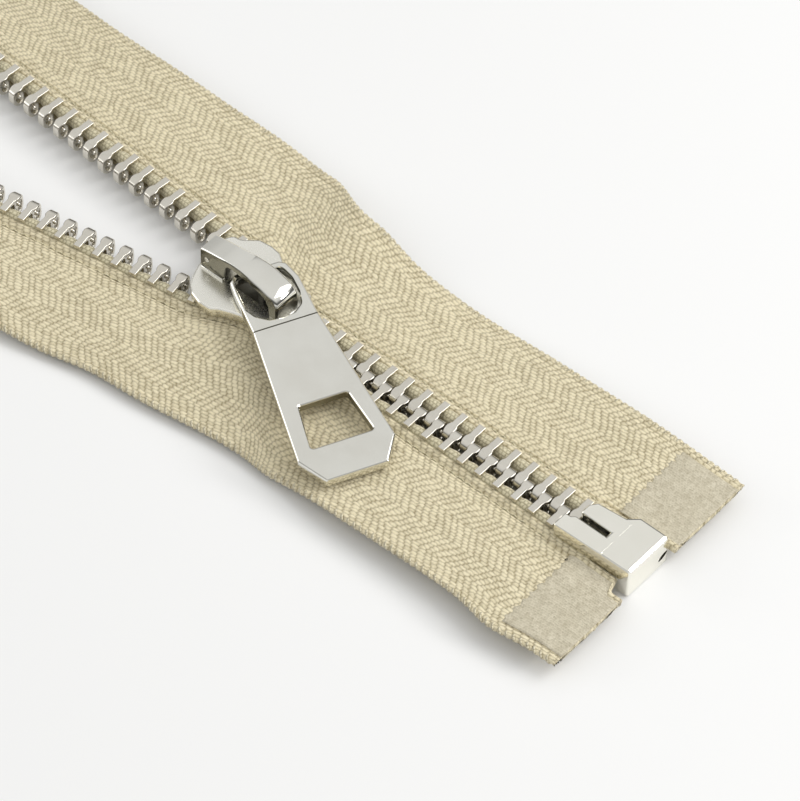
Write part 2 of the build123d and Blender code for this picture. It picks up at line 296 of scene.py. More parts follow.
def noise(tree, source, scale, detail=2.0, rough=0.5):
    """Smooth noise of about 0 to 1 over the source's coordinates."""
    node = tree.nodes.new("ShaderNodeTexNoise")
    node.inputs["Scale"].default_value = scale
    node.inputs["Detail"].default_value = detail
    node.inputs["Roughness"].default_value = rough
    tree.links.new(source, node.inputs["Vector"])
    return Signal(tree, node.outputs["Fac"])


def colour_sockets(sockets):
    return [s for s in sockets if s.type == "RGBA"]


def mix_colour(tree, share, low, high):
    """low where the share is 0 and high where it is 1."""
    node = tree.nodes.new("ShaderNodeMix")
    node.data_type = "RGBA"
    tree.links.new(share.socket, node.inputs["Factor"])
    for socket, colour in zip(colour_sockets(node.inputs), (low, high)):
        socket.default_value = colour
    return colour_sockets(node.outputs)[0]


def add_bump(tree, shader, height, distance_mm, strength=1.0):
    """Roughens the shading by a height."""
    node = tree.nodes.new("ShaderNodeBump")
    node.inputs["Distance"].default_value = distance_mm * MM
    node.inputs["Strength"].default_value = strength
    tree.links.new(height.socket, node.inputs["Height"])
    tree.links.new(node.outputs["Normal"], shader.inputs["Normal"])


def cloth_coordinates(tree):
    """Along and across the cloth in mm, a little uneven as woven threads are."""
    place = tree.nodes.new("ShaderNodeAttribute")
    place.attribute_name = "cloth_mm"
    parts = tree.nodes.new("ShaderNodeSeparateXYZ")
    tree.links.new(place.outputs["Vector"], parts.inputs[0])
    wander = noise(tree, place.outputs["Vector"], 0.55, 3.0) - 0.5
    wobble = noise(tree, place.outputs["Vector"], 1.7, 2.0) - 0.5
    along = Signal(tree, parts.outputs["X"]) + wander
    across = Signal(tree, parts.outputs["Y"]) + wobble * 0.36
    return place.outputs["Vector"], along, across


def cell_value(tree, first, second):
    """One random value, of -0.5 to 0.5, for each cell of a pattern."""
    joined = tree.nodes.new("ShaderNodeCombineXYZ")
    tree.links.new(first.socket, joined.inputs["X"])
    tree.links.new(second.socket, joined.inputs["Y"])
    random = tree.nodes.new("ShaderNodeTexWhiteNoise")
    tree.links.new(joined.outputs[0], random.inputs["Vector"])
    return Signal(tree, random.outputs["Value"]) - 0.5


def matt_yarn(shader):
    """How all the yarn takes the light."""
    shader.inputs["Roughness"].default_value = 0.85
    shader.inputs["Sheen Weight"].default_value = 0.2
    shader.inputs["Specular IOR Level"].default_value = 0.25


THREAD_COLOUR = (235, 224, 192)
# the dark end of the twill's colour: painted shade in the gaps between threads, and darker yarn at random
GAP_SHADE_AND_DARK_YARN = (158, 144, 110)


def twill_material():
    """Herringbone twill: rows of short floats, stepping one way and then the other by bands."""
    warp, float_length, band = 0.38, 0.92, 7.0
    made, tree, shader = material("herringbone_twill")
    vector, along, across = cloth_coordinates(tree)
    yarn = (across / warp).floor()
    in_yarn = (across / warp).saw()
    fold = (yarn / (2 * band)).saw().absolute() * band
    run = along / float_length + fold * 0.26
    in_float = run.saw()
    one_float = cell_value(tree, run.floor(), yarn)
    swell = noise(tree, vector, 1.1, 2.0)
    barrel = ((in_yarn * in_yarn) * -1.0 + 1.0).op("POWER", 0.6) * 0.6 + 0.4
    ends = ((in_float * in_float) * -1.0 + 1.0).op("POWER", 0.6)
    height = barrel * ends
    patches = noise(tree, vector, 0.22, 3.0)
    fuzz = noise(tree, vector, 5.0, 3.0, 0.75)
    # the colour follows the threads' height: painted shade in the gaps and toward the sides and ends of
    # each float, with random tone per float, fuzz, patches and swell on top
    share = height * 0.90 + 0.11 + one_float * 0.36 + (fuzz - 0.5) * 0.6
    share = share + (patches - 0.5) * 0.2 + (swell - 0.5) * 0.25
    colour = mix_colour(tree, share.clip(), linear(*GAP_SHADE_AND_DARK_YARN), linear(*THREAD_COLOUR))
    tree.links.new(colour, shader.inputs["Base Color"])
    matt_yarn(shader)
    shader.inputs["Sheen Roughness"].default_value = 0.45
    add_bump(tree, shader, height * 0.9 + one_float * 0.5 + fuzz * 0.5, 0.12, 1.0)
    return made


def yarn_material(name, low, high, scale=1.9, depth_mm=0.06):
    """Yarn-covered cord: short overlapping strands and fuzz."""
    made, tree, shader = material(name)
    vector, along, across = cloth_coordinates(tree)
    rows = across / 0.42
    strand = (along * scale + rows.floor() * 0.37).saw().absolute()
    rounding = rows.saw().absolute()
    fuzz = noise(tree, vector, 4.5, 3.0, 0.7)
    hollow = (strand * strand * strand).op("MAXIMUM", rounding * rounding * rounding)
    # painted shade: the hollows between strands and rows are darker in the colour, with random fuzz on
    # top
    share = (hollow * -0.75 + 0.95 + (fuzz - 0.5) * 0.7).clip()
    colour = mix_colour(tree, share, linear(*low), linear(*high))
    tree.links.new(colour, shader.inputs["Base Color"])
    matt_yarn(shader)
    add_bump(tree, shader, hollow * -1.0 + fuzz * 0.4, depth_mm, 0.9)
    return made


def film_material():
    """Clear film pressed into the weave: faint ribs, a satin skin, a rosier tone and pale specks."""
    made, tree, shader = material("pressed_film")
    vector, along, across = cloth_coordinates(tree)
    rows, columns = across / 0.30, along / 0.34
    rib = rows.saw().absolute()
    cross = (columns + rows.floor() * 0.5).saw().absolute()
    grain = noise(tree, vector, 4.0, 3.0, 0.75)
    cloud = noise(tree, vector, 0.5, 3.0)
    speck = cell_value(tree, columns.floor(), rows.floor())
    share = rib * 0.2 + cross * 0.15 + grain * 0.9 + speck * 0.35 + (cloud - 0.5) * 0.5 - 0.12
    colour = mix_colour(tree, share.clip(), linear(170, 160, 135), linear(224, 216, 194))
    tree.links.new(colour, shader.inputs["Base Color"])
    shader.inputs["Roughness"].default_value = 0.5
    shader.inputs["Specular IOR Level"].default_value = 0.4
    add_bump(tree, shader, rib * 0.4 + cross * 0.4 + grain + speck * 0.4, 0.06, 0.9)
    return made


def metal_material(name, colour, dull, rough, ripple_mm=0.0012, size_mm=1.0):
    """Plated metal: slightly uneven polish, a faint cast ripple and fine grain."""
    made, tree, shader = material(name)
    place = tree.nodes.new("ShaderNodeTexCoord").outputs["Object"]
    cloud = noise(tree, place, 260.0 / size_mm, 2.0)
    grain = noise(tree, place, 4200.0 / size_mm, 3.0, 0.65)
    share = (cloud * 0.7 + grain * 0.3).step(0.3, 0.7)
    mixed = mix_colour(tree, share, linear(*dull), linear(*colour))
    tree.links.new(mixed, shader.inputs["Base Color"])
    shader.inputs["Metallic"].default_value = 1.0
    rough_signal = (grain - 0.5) * 0.10 + (cloud - 0.5) * 0.06 + rough
    tree.links.new(rough_signal.socket, shader.inputs["Roughness"])
    add_bump(tree, shader, cloud * 3.0 + grain * 0.35, ripple_mm, 1.0)
    return made


twill = twill_material()
# the darker colour of each yarn is mostly painted shade between its strands
cord_yarn = yarn_material("cord_yarn", (150, 138, 104), (224, 216, 186))
selvedge_yarn = yarn_material("selvedge_yarn", (160, 146, 112), (232, 224, 198), 2.2)
film_skin = film_material()
nickel = metal_material("polished_nickel", (236, 235, 228), (228, 226, 218), 0.12)
tooth_metal = metal_material("tooth_nickel", (230, 226, 216), (216, 211, 200), 0.24, 0.0015, 2.0)
# painted shade with a painted reflection of the beige tape: a darker olive metal for side walls and inner
# walls
shaded_side_metal = metal_material("painted_shade_side_nickel", (158, 154, 138), (128, 124, 106), 0.22)
# painted shade: a darker, rougher metal for the recesses, the crease and the hole, where shade falls
shaded_hollow_metal = metal_material("painted_shade_hollow", (120, 118, 108), (84, 82, 74), 0.38, 0.004)
satin = metal_material("satin_nickel", (250, 248, 240), (242, 240, 231), 0.27)
bright = metal_material("bright_nickel", (252, 250, 241), (246, 244, 234), 0.15)
steel = metal_material("spring_steel", (190, 190, 188), (160, 160, 158), 0.3)


def dress(obj, made):
    """Gives a piece one material."""
    obj.data.materials.clear()
    obj.data.materials.append(made)
    return obj


# ------------------------------------------------------------ tapes
def tape_profile():
    """(distance, top z, bottom z) across a tape: piping, a stitch groove, a flat, an edge."""
    by_cord = np.arange(2.45, 4.6, 0.12)
    flat = np.arange(4.7, 14.4, 0.42)
    by_edge = np.arange(14.5, 15.86, 0.13)
    distance = np.concatenate([by_cord, flat, by_edge])
    piping = 0.22 * bump(distance, 2.95, 0.42)
    groove = 0.30 * bump(distance, STITCH_GROOVE, 0.17) + 0.10 * bump(distance, 4.25, 0.12)
    rim = 0.10 * bump(distance, 14.75, 0.14)
    edge = 0.22 * smooth(SELVEDGE_LINE, TAPE_OUTER, distance)
    inner = 0.12 * (1 - smooth(2.45, 2.7, distance))
    top = MID_Z + TAPE_HALF + piping - groove - rim - edge - inner
    under = MID_Z - TAPE_HALF - 0.5 * piping + 0.5 * groove + 0.5 * rim + edge + inner
    return distance, top, under


def notch(x, side, depth):
    """How far the left half's cloth and film are cut back beside the box's end."""
    return depth * (1 - smooth(NOTCH_START, NOTCH_END, x)) if side == LEFT else 0.0


def uneven(x, across):
    """The cloth's slight ups and downs."""
    return 0.05 * np.sin(x * 0.9 + across * 0.7) * np.sin(across * 1.3)


def flat_ring(x, across):
    """One ring's own place in the cloth, upper side and then lower side."""
    x_all = np.concatenate([x, x[::-1]])
    across_all = np.concatenate([across, across[::-1]])
    return np.stack([x_all, across_all, 0 * x_all], -1)


def inner_limit(x, side):
    """The tape is cut back where the box and its pin stand."""
    wide = 2.95 if side == LEFT else 3.95
    step_x = BOX_END + 4.9 + 0.3
    by_box = 1 - smooth(step_x - 0.2, step_x + 0.2, x)
    by_pin = 1 - smooth(PIN_END[side], PIN_END[side] + 0.3, x)
    return np.maximum(wide * by_box, 2.85 * by_pin) + notch(x, side, 1.75)


def tape(side):
    """One half's woven tape, as a closed skin with a ragged bottom end."""
    distance, top, under = tape_profile()
    along = np.arange(TAPE_START, TAPE_END, 0.36)
    rings, flat = [], []
    ragged = rng.normal(0, 0.07, len(distance))
    for count, x in enumerate(along):
        start = inner_limit(x, side)
        across = distance
        if start > distance[0]:
            share = (distance - distance[0]) / (distance[-1] - distance[0])
            across = start + share * (distance[-1] - start)
        scallop = 0.07 * math.sin(FULL_TURN * x / 1.25)
        across = across + scallop * smooth(15.2, 15.85, across)
        place_x = x + (ragged if count == 0 else 0) * np.ones_like(across)
        ripple = uneven(x, across)
        upper = soft_place(place_x, across, top + ripple, side)
        lower = soft_place(place_x, across, under + ripple, side)
        rings.append(np.concatenate([upper, lower[::-1]]))
        flat.append(flat_ring(np.full_like(across, x), across))
    obj = ring_mesh(f"tape_{NAMES[side]}", rings, flat)
    return dress(obj, twill)


def tube(name, lines, flat, made):
    """A yarn or cord from the lines that run along it."""
    return dress(ring_mesh(name, np.stack(lines, 1), np.stack(flat, 1)), made)


def wound_edge(side):
    """The selvedge: a yarn wound over the tape's outer edge, turn after turn."""
    turn_length, steps, around, thick = 0.86, 12, 6, 0.155
    along = np.arange(TAPE_START + 0.25, TAPE_END - 0.2, turn_length / steps)
    angle = FULL_TURN * (along - TAPE_START) / turn_length
    centre_x = along + 0.10 * np.sin(angle)
    centre_y = SELVEDGE_LINE + SELVEDGE_WINDING * np.cos(angle)
    centre_z = MID_Z + SELVEDGE_WINDING * np.sin(angle)
    centre = np.stack([centre_x, centre_y, centre_z], -1)
    heading = np.gradient(centre, axis=0)
    heading /= np.linalg.norm(heading, axis=1)[:, None]
    hub = np.stack([along, np.full_like(along, SELVEDGE_LINE), np.full_like(along, MID_Z)], -1)
    out = centre - hub
    out -= (out * heading).sum(1)[:, None] * heading
    out /= np.linalg.norm(out, axis=1)[:, None]
    third = np.cross(heading, out)
    rings, flat = [], []
    run = np.cumsum(np.full_like(along, 0.22))
    for a in np.arange(around) * 2 * math.pi / around:
        point = centre + thick * (math.cos(a) * out * 0.8 + math.sin(a) * third)
        rings.append(soft_place(point[:, 0], point[:, 1], point[:, 2], side))
        flat.append(np.stack([run, np.full_like(along, a * thick), 0 * along], -1))
    return tube(f"selvedge_{NAMES[side]}", rings, flat, selvedge_yarn)


def cord(side):
    """The woven cord that the legs clasp: pinched at each tooth, swelling between."""
    start = PIN_END[side] + 0.15
    along = np.arange(start, TAPE_END - 0.1, 0.28)
    near_tooth = np.cos(FULL_TURN * (along - FIRST_TOOTH[side]) / PITCH)
    swell = 0.5 - 0.5 * near_tooth
    angles = np.arange(14) * 2 * math.pi / 14
    high = 0.66 + 0.22 * swell
    wide = 0.66 + 0.13 * swell
    rings, flat = [], []
    for a in angles:
        distance = CORD_LINE + 0.05 + wide * math.cos(a)
        rings.append(soft_place(along, distance, MID_Z + high * math.sin(a), side))
        flat.append(np.stack([along, np.full_like(along, a * 0.7), 0 * along], -1))
    return tube(f"cord_{NAMES[side]}", rings, flat, cord_yarn)


def stitch_line(side):
    """The chain stitch that holds the cord to the tape, in its groove."""
    step, around, thick = 1.27, 6, 0.10
    along = np.arange(PIN_END[side] + 0.3, TAPE_END - 0.3, step / 8)
    angle = FULL_TURN * along / step
    across = STITCH_GROOVE + 0.06 * np.sin(angle)
    z = MID_Z + TAPE_HALF - 0.20 + 0.09 * np.cos(angle)
    rings, flat = [], []
    for a in np.arange(around) * 2 * math.pi / around:
        beside, above = thick * math.cos(a), thick * math.sin(a)
        rings.append(soft_place(along, across + beside, z + above, side))
        flat.append(np.stack([along, np.full_like(along, a * thick), 0 * along], -1))
    return tube(f"stitching_{NAMES[side]}", rings, flat, cord_yarn)


def film(side, above):
    """Film pressed over a tape's bottom end, with a soft ragged start."""
    inner = 3.2 if side == LEFT else 4.1
    plain = np.linspace(inner, FILM_OUTER, 44)
    ragged = 0.16 * np.sin(plain * 5.1) + 0.12 * np.sin(plain * 11.7 + 1)
    ragged = ragged + rng.normal(0, 0.05, len(plain))
    face = MID_Z + (TAPE_HALF + 0.035 if above else -TAPE_HALF - 0.035)
    rings, flat = [], []
    for share in np.linspace(0, 1, 30):
        x = TAPE_START - 0.02 + share * (FILM_LENGTH + ragged)
        cut = notch(float(np.mean(x)), side, 1.65)
        across = FILM_OUTER - (FILM_OUTER - plain) * (FILM_OUTER - inner - cut) / (FILM_OUTER - inner)
        ripple = uneven(x, across)
        thin = FILM_HALF * (1 - smooth(0.92, 1.0, share)) + 0.004
        edge = 1 - 0.8 * smooth(FILM_FEATHER, FILM_OUTER, across)
        lift = (thin - FILM_HALF) * (1 if above else -1)
        upper = soft_place(x, across, face + lift + ripple + thin * edge, side)
        lower = soft_place(x, across, face + lift + ripple - thin * edge, side)
        rings.append(np.concatenate([upper, lower[::-1]]))
        flat.append(flat_ring(x, across))
    name = f"film_{NAMES[side]}_{'face' if above else 'back'}"
    return dress(ring_mesh(name, rings, flat), film_skin)


# ------------------------------------------------------------ teeth
def signed_area(outline):
    """Above 0 where the outline runs anticlockwise."""
    x, y = outline[:, 0], outline[:, 1]
    return 0.5 * np.sum(x * np.roll(y, -1) - np.roll(x, -1) * y)


def arc(centre, radius, start, end, steps):
    """Points along a circle, between two angles in degrees."""
    angles = np.radians(np.linspace(start, end, steps))
    return [(centre[0] + radius * math.cos(a), centre[1] + radius * math.sin(a)) for a in angles]


def tooth_outline():
    """The tooth from its side, (distance from the middle line, height): a hook round the cord."""
    top = TOOTH_HEIGHT / 2
    gap = LEG_GAP / 2
    back = (1.5, 1.2, 0.95, 0.75, 0.55, 0.35, 0.15)
    outline = [(LEG_END, gap), (LEG_END, top)] + [(y, top) for y in back]
    outline += arc((-HEAD_END + 0.75, top - 0.75), 0.75, 90, 180, 7)
    outline += arc((-HEAD_END + 0.75, 0.75 - top), 0.75, 180, 270, 7)
    outline += [(y, -top) for y in back[::-1]]
    outline += [(LEG_END, -top), (LEG_END, -gap)]
    outline += arc((THROAT + 0.35, 0.35 - gap), 0.35, 270, 180, 4)
    outline += arc((THROAT + 0.35, gap - 0.35), 0.35, 180, 90, 4)
    return np.array(outline)


def inset(outline, amount):
    """The outline drawn in by an amount on every side."""
    before, after = np.roll(outline, 1, 0), np.roll(outline, -1, 0)

    def normal(a, b):
        d = b - a
        n = np.stack([-d[:, 1], d[:, 0]], -1)
        return n / np.maximum(np.linalg.norm(n, axis=1)[:, None], 1e-9)

    both = normal(before, outline) + normal(outline, after)
    both /= np.maximum(np.linalg.norm(both, axis=1)[:, None], 1e-9)
    return outline + amount * both


def tooth_template():
    """One tooth of the left row at the origin: points in mm, and faces."""
    outline = tooth_outline()
    if signed_area(outline) < 0:
        outline = outline[::-1]
    half = TOOTH_WIDTH / 2
    bevel = 0.06
    sections = [
        (-half, bevel),
        (bevel * 0.35 - half, bevel * 0.35),
        (bevel - half, 0.0),
        (half - bevel, 0.0),
        (half - bevel * 0.35, bevel * 0.35),
        (half, bevel),
    ]
    points = []
    for x, amount in sections:
        drawn = inset(outline, amount)
        wide = 0.84 - 0.06 * bump(drawn[:, 0], 1.0, 0.3) + 0.40 * smooth(0.95, 0.40, drawn[:, 0])
        wide = wide - 0.38 * smooth(0.15, -HEAD_END, drawn[:, 0])
        points += [(x * w, y, MID_Z + z) for (y, z), w in zip(drawn, wide)]
    body = outward(make_object("tooth", points, tube_faces(len(sections), len(outline)), False))
    dimple = ball("dimple", (-half * 1.28, 0.18, MID_Z - 0.05), (0.50, 0.66, 0.90))
    cut = body.modifiers.new("dimple", "BOOLEAN")
    cut.operation = "DIFFERENCE"
    cut.solver = "EXACT"
    cut.object = dimple
    bpy.context.view_layer.update()
    done = body.evaluated_get(bpy.context.evaluated_depsgraph_get()).to_mesh()
    verts = np.array([v.co for v in done.vertices]) / MM
    faces = [tuple(p.vertices) for p in done.polygons]
    nibs = (
        ball("nib", (0.22 - half, 0.18, MID_Z), (0.40, 0.27, 0.30)),
        ball("nib", (half, 0.15, MID_Z), (0.14, 0.30, 0.34)),
    )
    for nib in nibs:
        start = len(verts)
        verts = np.concatenate([verts, np.array([v.co for v in nib.data.vertices]) / MM])
        faces += [tuple(start + i for i in p.vertices) for p in nib.data.polygons]
        bpy.data.objects.remove(nib)
    bpy.data.objects.remove(body)
    bpy.data.objects.remove(dimple)
    return verts, faces


def ball(name, centre, radii):
    """An ellipsoid, in mm."""
    bm = bmesh.new()
    bmesh.ops.create_uvsphere(bm, u_segments=12, v_segments=8, radius=1.0)
    mesh = bpy.data.meshes.new(name)
    bm.to_mesh(mesh)
    bm.free()
    stretch = Matrix.Diagonal((*[r * MM for r in radii], 1))
    mesh.transform(Matrix.Translation(Vector(centre) * MM) @ stretch)
    return linked(name, mesh)


def teeth(name, template, places, side):
    """A run of teeth as one mesh, each standing square to its own tape."""
    verts, faces = template
    all_points, all_faces = [], []
    for x in places:
        jitter = rng.normal(0, 1, 4)
        turn = lean(x, side) + side * math.radians(0.9) * jitter[0]
        point = verts * [1 + 0.02 * jitter[1], side, 1]
        cos, sin = math.cos(turn), math.sin(turn)
        along, across = laid(x, 0, side)
        moved = np.stack([
            along + ROW_SHIFT[side] + cos * point[:, 0] - sin * point[:, 1] + 0.02 * jitter[2],
            across + sin * point[:, 0] + cos * point[:, 1] + 0.02 * jitter[3],
            point[:, 2],
        ], -1)
        start = len(all_points) * len(verts)
        all_points.append(moved)
        all_faces += [tuple(start + i for i in (f if side == LEFT else f[::-1])) for f in faces]
    obj = make_object(name, np.concatenate(all_points), all_faces, True)
    obj.data.shade_smooth()
    mark_sharp(obj, SHARP_TOOTH)
    return dress(obj, tooth_metal)


def mark_sharp(obj, degrees):
    """Smooth shading, except across sharper edges and on faces that lie level."""
    bm = bmesh.new()
    bm.from_mesh(obj.data)
    limit = math.radians(degrees)
    for edge in bm.edges:
        edge.smooth = len(edge.link_faces) == 2 and edge.calc_face_angle(0) < limit
    for face in bm.faces:
        face.smooth = True
    bm.to_mesh(obj.data)
    bm.free()
    for face in obj.data.polygons:
        if abs(face.normal.z) > 0.9999:
            face.use_smooth = False


# ------------------------------------------------------------ build the soft goods
template = tooth_template()
for side, name in NAMES.items():
    arm = f"{name}_arm"
    strip = tape(side)
    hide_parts(f"tape_{name}_lower", f"tape_{name}_upper")
    edge = wound_edge(side)
    core = cord(side)
    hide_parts(f"cord_{name}_lower", f"cord_{name}_upper")
    seam = stitch_line(side)
    for piece in (strip, edge, core, seam):
        blended(piece)
        "cord_yarn" if piece in (core, seam) else "tape_fabric"
    for above, cad_end in ((True, "top"), (False, "bottom")):
        patch = film(side, above)
        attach(patch, "closed_chain")
        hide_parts(f"film_{name}_{cad_end}")
    runs = (
        (f"chain_teeth_{name}", f"teeth_{name}_lower", BOX_END, SPLIT, "closed_chain"),
        (f"slider_teeth_{name}", f"guide_teeth_{name}", SPLIT, MOUTH, None),
        (f"open_teeth_{name}", f"teeth_{name}_upper", MOUTH, TAPE_END, arm),
    )
    for piece_name, cad_name, low, high, body in runs:
        places = [x for x in stations(side) if low <= x < high]
        row = teeth(piece_name, template, places, side)
        if body:
            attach(row, body)
        else:
            blended(row)
        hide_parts(cad_name)


# ------------------------------------------------------------ slider and pull tab
def rounded(points, radius, steps=8):
    """A closed outline with its corners rounded."""
    points = np.asarray(points, float)
    done = []
    for before, corner, after in zip(np.roll(points, 1, 0), points, np.roll(points, -1, 0)):
        into, away = before - corner, after - corner
        length = min(np.linalg.norm(into), np.linalg.norm(away)) * 0.48
        into, away = into / np.linalg.norm(into), away / np.linalg.norm(away)
        half = 0.5 * math.acos(max(-1, min(1, float(into @ away))))
        reach = min(radius / max(math.tan(half), 1e-3), length)
        start, end = corner + into * reach, corner + away * reach
        for t in np.linspace(0, 1, steps):
            done.append((1 - t) ** 2 * start + 2 * t * (1 - t) * corner + t * t * end)
    return np.array(done)


def plate(name, outlines, low, high, bevel=0.15):
    """A plate with bevelled edges: the first outline is its edge, and the others are holes."""
    bm = bmesh.new()
    facets = [(0.0, 1.0), (0.15, 0.55), (0.55, 0.15), (1.0, 0.0)]
    levels = [(low + depth * bevel, share) for depth, share in facets]
    levels += [(high - depth * bevel, share) for depth, share in facets[::-1]]
    for number, outline in enumerate(outlines):
        outline = np.asarray(outline, float)
        if (signed_area(outline) > 0) != (number == 0):
            outline = outline[::-1]
        rings = []
        for z, share in levels:
            drawn = inset(outline, share * bevel)
            rings.append([bm.verts.new((x * MM, y * MM, z * MM)) for x, y in drawn])
        for below, above in zip(rings, rings[1:]):
            for a in range(len(below)):
                b = (a + 1) % len(below)
                bm.faces.new((below[a], below[b], above[b], above[a]))
    bm.edges.ensure_lookup_table()
    for z in (low, high):
        open_edges = [e for e in bm.edges if len(e.link_faces) == 1]
        rim = [e for e in open_edges if all(abs(v.co.z - z * MM) < 1e-9 for v in e.verts)]
        bmesh.ops.triangle_fill(bm, use_beauty=True, edges=rim)
    bmesh.ops.recalc_face_normals(bm, faces=bm.faces)
    mesh = bpy.data.meshes.new(name)
    bm.to_mesh(mesh)
    bm.free()
    return linked(name, mesh)


def joined(name, pieces):
    """One object from several."""
    bm = bmesh.new()
    for piece in pieces:
        mesh = piece.data.copy()
        mesh.transform(piece.matrix_basis)
        bm.from_mesh(mesh)
        bpy.data.meshes.remove(mesh)
        bpy.data.objects.remove(piece)
    mesh = bpy.data.meshes.new(name)
    bm.to_mesh(mesh)
    bm.free()
    return linked(name, mesh)


def carved(obj, cutters):
    """Cuts the cutters out of obj's mesh."""
    for cutter in cutters:
        cut = obj.modifiers.new("cut", "BOOLEAN")
        cut.operation = "DIFFERENCE"
        cut.solver = "EXACT"
        cut.use_self = True
        cut.object = cutter
    bpy.context.view_layer.update()
    mesh = bpy.data.meshes.new_from_object(obj.evaluated_get(bpy.context.evaluated_depsgraph_get()))
    obj.modifiers.clear()
    obj.data = mesh
    for cutter in cutters:
        bpy.data.objects.remove(cutter)
    return obj


def bar(name, centre, size, turn_y=0.0):
    """A plain box, in mm, turned about Y."""
    x, y, z = (v / 2 for v in size)
    corners = [(a, b, c) for c in (-z, z) for a, b in ((-x, -y), (x, -y), (x, y), (-x, y))]
    faces = [(3, 2, 1, 0), (4, 5, 6, 7), (0, 1, 5, 4), (1, 2, 6, 5), (2, 3, 7, 6), (3, 0, 4, 7)]
    obj = make_object(name, corners, faces, False)
    obj.data.transform(Matrix.Translation(Vector(centre) * MM) @ Matrix.Rotation(turn_y, 4, "Y"))
    return obj


def crown():
    """The arched bridge over the slider: flat on top, wider behind, with a rounded heel."""
    outline = [(60.86, 4.25), (60.84, 6.9), (60.62, 7.25), (59.7, 7.45), (58.8, 7.61)]
    outline += [(x, 8.02 - 0.64 * ((x - 54.85) / 4.6) ** 2) for x in np.linspace(57.9, 51.2, 20)]
    heel = np.radians(np.linspace(6, 96, 16))
    outline += [(50.55 - 1.75 * math.sin(a), 5.95 + 1.48 * math.cos(a)) for a in heel]
    outline += [(48.85, 4.25), (50.0, 4.25), (50.25, 5.6), (50.75, 6.15), (51.5, 6.5), (53.4, 6.86)]
    outline += [(55.2, 6.95), (56.4, 6.88), (56.85, 6.5), (57.1, 5.2), (57.2, 4.25)]
    outline = np.array(outline)
    if signed_area(outline) < 0:
        outline = outline[::-1]
    bevel = 0.24
    across = [(-1, 1.0), (-1 + 0.05, 0.55), (-1 + 0.11, 0.18), (-1 + 0.17, 0.0)]
    sections = across + [(-y, amount) for y, amount in across[::-1]]
    points = []
    for y, amount in sections:
        drawn = inset(outline, amount * bevel)
        x, z = drawn[:, 0], drawn[:, 1]
        half = 1.40 + 0.28 * smooth(56.5, 52.0, x) - 0.06 * smooth(50.5, 49.0, x)
        half = half + 0.26 * smooth(7.0, 4.6, z) * smooth(52.5, 50.0, x)
        middle = -0.08 - 0.1 * smooth(58, 54, x) + 0.1 * smooth(52, 50, x)
        points += list(np.stack([x, middle + y * half, z], -1))
    obj = outward(make_object("slider_bridge", points, tube_faces(len(sections), len(outline)), True))
    grooves = []
    fold = [(60.7, 4.75), (59.3, 5.25), (58.9, 4.95), (57.0, 4.75)]
    for (x0, z0), (x1, z1) in zip(fold, fold[1:]):
        angle = math.atan2(z1 - z0, x1 - x0)
        length = math.hypot(x1 - x0, z1 - z0) + 0.05
        for y in (1.36, -1.52):
            middle = ((x0 + x1) / 2, y, (z0 + z1) / 2)
            grooves.append(bar("groove", middle, (length, 0.42, 0.13), -angle))
    carved(obj, grooves)
    mark_sharp(obj, SHARP_METAL)
    dress(obj, nickel)
    # painted shade: the inside of the arch and the heel's lower band get the darker hollow metal, and the
    # heel's upper band and the side walls get the darker olive side metal
    darken(obj, (49.6, -1.9, 4.3), (57.4, 1.9, 6.99))
    darken(obj, (48.5, -1.7, 4.75), (49.6, 1.7, 5.6))
    darken(obj, (48.5, -1.7, 5.6), (49.6, 1.7, 6.15), shaded_side_metal)
    darken(obj, (48, -3, 4), (62, 3, 9), shaded_side_metal, 0.8)
    lugs = []
    for y in (1.37, -1.53):
        foot = [(57.2, y - 0.22), (60.5, y - 0.22), (60.5, y + 0.22), (57.2, y + 0.22)]
        lugs.append(plate("lug", [rounded(foot, 0.15, 4)], 4.2, 4.72, 0.08))
        lugs.append(ball("dent", (59.7, y - 0.03, 6.0), (0.34, 0.10, 0.30)))
    return whole("slider_bridge", obj, lugs)


def darken(obj, low, high, made=None, sideways=None):
    """Gives the faces whose middles are in a region, in mm, a darker metal as painted shade.

    Side walls are left alone, unless sideways says how far a face has to turn to +Y or -Y.
    """
    obj.data.materials.append(made or shaded_hollow_metal)
    for face in obj.data.polygons:
        middle = face.center / MM
        wanted = abs(face.normal.y) < 0.8 if sideways is None else abs(face.normal.y) > sideways
        if wanted and all(a <= m <= b for a, m, b in zip(low, middle, high)):
            face.material_index = len(obj.data.materials) - 1


def whole(name, obj, extras):
    """Adds small pieces, dressed like the first, to a finished one."""
    for extra in extras:
        mark_sharp(extra, SHARP_METAL)
        for made in obj.data.materials:
            extra.data.materials.append(made)
    bm = bmesh.new()
    bm.from_mesh(obj.data)
    for extra in extras:
        bm.from_mesh(extra.data)
        bpy.data.objects.remove(extra)
    bm.to_mesh(obj.data)
    bm.free()
    obj.name = name
    return obj


